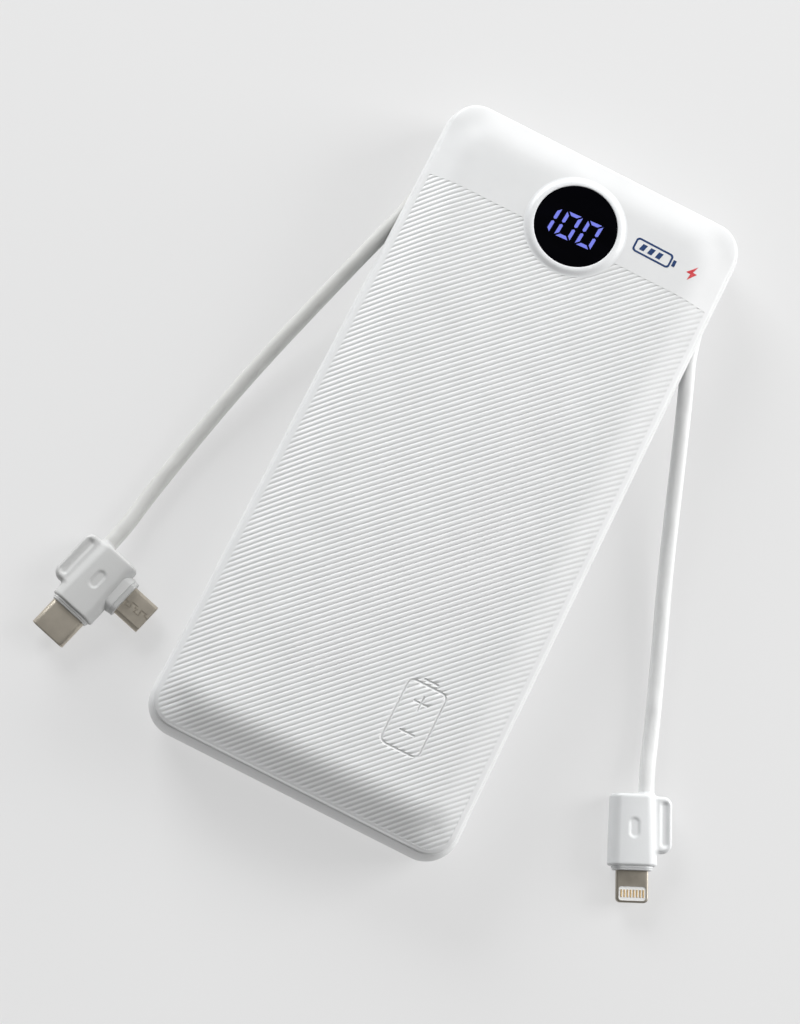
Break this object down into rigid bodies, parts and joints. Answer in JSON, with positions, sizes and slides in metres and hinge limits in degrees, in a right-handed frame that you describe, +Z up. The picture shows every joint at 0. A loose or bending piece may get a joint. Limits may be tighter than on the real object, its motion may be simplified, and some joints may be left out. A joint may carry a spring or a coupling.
{
  "type": "power bank",
  "caption": "Slim rectangular power bank with a finely ribbed cover, a round charge display, a side button and short built-in charging leads ending in small plugs.",
  "frame": {"origin": "centre of the case's underside, on the surface it rests on", "axes": "+Y along the case towards the display end, +X towards the side button, +Z up through the ribbed cover"},
  "size_m": [0.1404, 0.1516, 0.0165],
  "materials": {
    "shell_white": "satin",
    "bezel_white": "satin",
    "lens_black": "gloss",
    "display_glow": "gloss",
    "liner_white": "matte",
    "button_white": "satin",
    "lead_white": "satin",
    "plug_white": "satin",
    "plug_metal": "satin",
    "port_metal": "satin",
    "contact_gold": "satin",
    "insert_white": "satin",
    "insert_black": "matte",
    "board_green": "satin",
    "chip_black": "matte",
    "inductor_grey": "matte",
    "capacitor_tan": "satin",
    "capacitor_can": "satin",
    "cell_foil": "satin",
    "tape_white": "matte",
    "foam_grey": "matte",
    "nickel": "satin",
    "wire_red": "satin",
    "wire_black": "satin",
    "stem_white": "satin"
  },
  "bodies": {
    "case": {"top_cover": "shell_white", "base_shell": "shell_white", "display_bezel": "bezel_white", "display_lens": "lens_black", "display_segments": "display_glow", "side_liner_left": "liner_white", "side_liner_right": "liner_white", "lead_left": "lead_white", "lead_right": "lead_white", "lead_gland_left": "lead_white", "lead_gland_right": "lead_white", "plug_housing_left": "plug_white", "plug_housing_right": "plug_white", "type_c_collar": "plug_white", "micro_collar": "plug_white", "blade_collar": "plug_white", "type_c_plug_shell": "plug_metal", "micro_plug_shell": "plug_metal", "blade_shank": "plug_metal", "type_a_shell": "port_metal", "type_c_shell": "port_metal", "type_c_plug_contacts": "contact_gold", "micro_plug_contacts": "contact_gold", "blade_contacts": "contact_gold", "type_a_contacts": "contact_gold", "type_c_contacts": "contact_gold", "blade_insert": "insert_white", "type_a_tongue": "insert_white", "type_c_plug_insert": "insert_black", "micro_plug_insert": "insert_black", "type_c_tongue": "insert_black", "display_module": "insert_black", "tact_switch": "insert_black", "main_board": "board_green", "protection_board": "board_green", "charge_controller": "chip_black", "display_driver": "chip_black", "power_switches": "chip_black", "power_inductor": "inductor_grey", "ceramic_capacitors": "capacitor_tan", "bulk_capacitor": "capacitor_can", "battery_cell_lower": "cell_foil", "battery_cell_upper": "cell_foil", "cell_tape_lower": "tape_white", "cell_tape_middle": "tape_white", "cell_foam_top": "foam_grey", "cell_tabs": "nickel", "board_screws": "nickel", "display_pins": "nickel", "battery_lead_positive": "wire_red", "battery_lead_negative": "wire_black", "board_wires": "wire_black"},
    "button": {"power_button": "button_white", "switch_stem": "stem_white"}
  },
  "joints": [
    {"name": "power_button_press", "type": "slide", "parent": "case", "child": "button", "axis": [-1, 0, 0], "range_m": [0, 0.00035], "stiffness_N_per_m": 4000}
  ]
}
